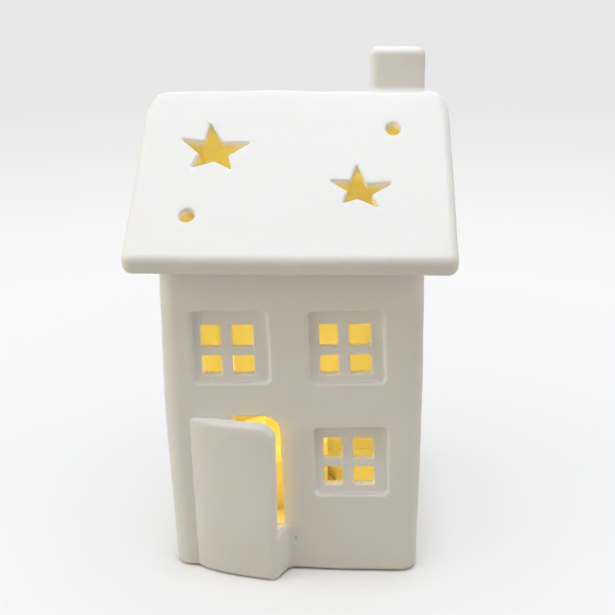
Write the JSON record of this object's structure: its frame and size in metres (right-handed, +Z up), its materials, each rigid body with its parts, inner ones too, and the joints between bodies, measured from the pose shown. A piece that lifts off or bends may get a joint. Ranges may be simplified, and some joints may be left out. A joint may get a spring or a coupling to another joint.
{
  "type": "tealight house",
  "caption": "White ceramic house lantern with star cut-outs, four-pane windows and a door ajar; it lifts off the battery tealight inside.",
  "frame": {"origin": "on the table, under the middle of the roof's outline", "axes": "+Z up, +X to the right of the house as seen from its door side, +Y from the door side to the back"},
  "size_m": [0.0928, 0.0916, 0.159],
  "materials": {
    "white_ceramic": "matt white, unglazed look",
    "pad_rubber": "soft grey",
    "shell_plastic": "wax white",
    "lens_plastic": "frosted amber",
    "lamp_resin": "clear yellow resin",
    "lead_wire": "tinned",
    "frame_plastic": "moulded white",
    "contact_metal": "bright strip",
    "cell_steel": "brushed",
    "switch_plastic": "moulded black"
  },
  "bodies": {
    "tealight": {"candle_shell": "shell_plastic", "flame_lens": "lens_plastic", "led_lamp": "lamp_resin", "long_lead": "lead_wire", "short_lead": "lead_wire", "base_frame": "frame_plastic", "cell_spring": "contact_metal", "side_contact": "contact_metal", "coin_cell": "cell_steel"},
    "house": {"house_walls": "white_ceramic", "floor_plate": "white_ceramic", "roof": "white_ceramic", "chimney": "white_ceramic", "door_leaf": "white_ceramic", "door_sill": "white_ceramic", "foot_pads": "pad_rubber"},
    "cover": {"battery_cover": "frame_plastic"},
    "switch": {"switch_slider": "switch_plastic", "switch_bridge": "contact_metal"}
  },
  "joints": [
    {"name": "house_lift", "type": "slide", "parent": "tealight", "child": "house", "axis": [0, 0, 1], "range_m": [0, 0.06]},
    {"name": "cover_turn", "type": "hinge", "parent": "tealight", "child": "cover", "pos_m": [-0.00648, 0.01201, 0.002], "axis": [0, 0, 1], "range_deg": [0, 45]},
    {"name": "switch_slide", "type": "slide", "parent": "tealight", "child": "switch", "axis": [0, 1, 0], "range_m": [0, 0.0026]}
  ]
}
